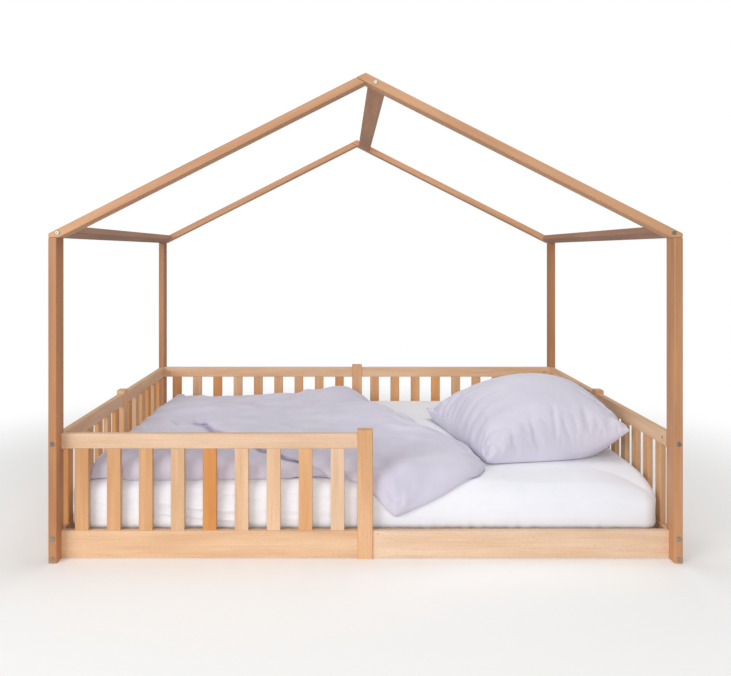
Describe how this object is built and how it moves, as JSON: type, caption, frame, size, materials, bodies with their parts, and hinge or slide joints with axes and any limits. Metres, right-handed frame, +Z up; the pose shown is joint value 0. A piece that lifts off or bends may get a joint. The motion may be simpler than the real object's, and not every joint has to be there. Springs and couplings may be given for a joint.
{
  "type": "toddler bed",
  "caption": "House-shaped floor bed for a toddler: beech posts and gable roof frame, slatted guard fence with an open front half, slatted base, mattress, duvet and pillow.",
  "frame": {"origin": "on the floor, under the middle of the bed's overall length and depth", "axes": "+X along the length, from the fenced end of the front to its open end; +Y from the open front to the back; +Z up"},
  "size_m": [2.08, 1.553, 1.6075],
  "materials": {
    "beech_pale": "oiled satin, paler boards",
    "beech": "oiled satin",
    "beech_deep": "oiled satin, deeper boards",
    "base_slat_wood": "planed, untreated",
    "bolt_steel": "dark zinc plated",
    "sheet_cotton": "plain woven cotton, fitted sheet",
    "duvet_cotton": "washed cotton, softly creased",
    "pillow_cotton": "washed cotton, softly creased"
  },
  "bodies": {
    "frame": {"front_top_rail": "beech_pale", "front_left_board": "beech_pale", "front_right_board": "beech_pale", "front_slat_1": "beech_pale", "front_slat_2": "beech_pale", "front_slat_3": "beech_pale", "front_slat_4": "beech_pale", "front_slat_5": "beech_pale", "front_slat_6": "beech_pale", "front_slat_7": "beech_pale", "front_slat_8": "beech_pale", "front_slat_9": "beech_pale", "back_left_fence": "beech_pale", "back_right_fence": "beech_pale", "left_front_fence": "beech_pale", "left_back_fence": "beech_pale", "right_front_fence": "beech_pale", "right_back_fence": "beech_pale", "front_left_post": "beech_deep", "front_right_post": "beech_deep", "back_left_post": "beech_deep", "back_right_post": "beech_deep", "front_left_rafter": "beech", "front_right_rafter": "beech", "back_left_rafter": "beech", "back_right_rafter": "beech", "left_eave_purlin": "beech", "right_eave_purlin": "beech", "ridge_purlin": "beech", "front_centre_post": "beech", "back_centre_post": "beech", "left_centre_post": "beech", "right_centre_post": "beech", "front_left_ledge": "beech", "front_right_ledge": "beech", "back_left_ledge": "beech", "back_right_ledge": "beech", "centre_beam": "beech", "front_left_rail_bolt": "bolt_steel", "front_left_board_upper_bolt": "bolt_steel", "front_left_board_lower_bolt": "bolt_steel", "front_left_eave_bolt": "bolt_steel", "front_right_rail_bolt": "bolt_steel", "front_right_board_upper_bolt": "bolt_steel", "front_right_board_lower_bolt": "bolt_steel", "front_right_eave_bolt": "bolt_steel", "back_left_rail_bolt": "bolt_steel", "back_left_board_upper_bolt": "bolt_steel", "back_left_board_lower_bolt": "bolt_steel", "back_left_eave_bolt": "bolt_steel", "back_right_rail_bolt": "bolt_steel", "back_right_board_upper_bolt": "bolt_steel", "back_right_board_lower_bolt": "bolt_steel", "back_right_eave_bolt": "bolt_steel", "front_ridge_bolt": "bolt_steel", "back_ridge_bolt": "bolt_steel", "base_slat_roll": "base_slat_wood"},
    "mattress": {"mattress": "sheet_cotton"},
    "duvet": {"duvet": "duvet_cotton"},
    "pillow": {"pillow": "pillow_cotton"}
  },
  "joints": [
    {"name": "mattress_lift", "type": "slide", "parent": "frame", "child": "mattress", "axis": [0, 0, 1], "range_m": [0, 0.36]},
    {"name": "duvet_lift", "type": "slide", "parent": "mattress", "child": "duvet", "axis": [0, 0, 1], "range_m": [0, 0.3]},
    {"name": "pillow_lift", "type": "slide", "parent": "mattress", "child": "pillow", "axis": [0, 0, 1], "range_m": [0, 0.25]}
  ]
}
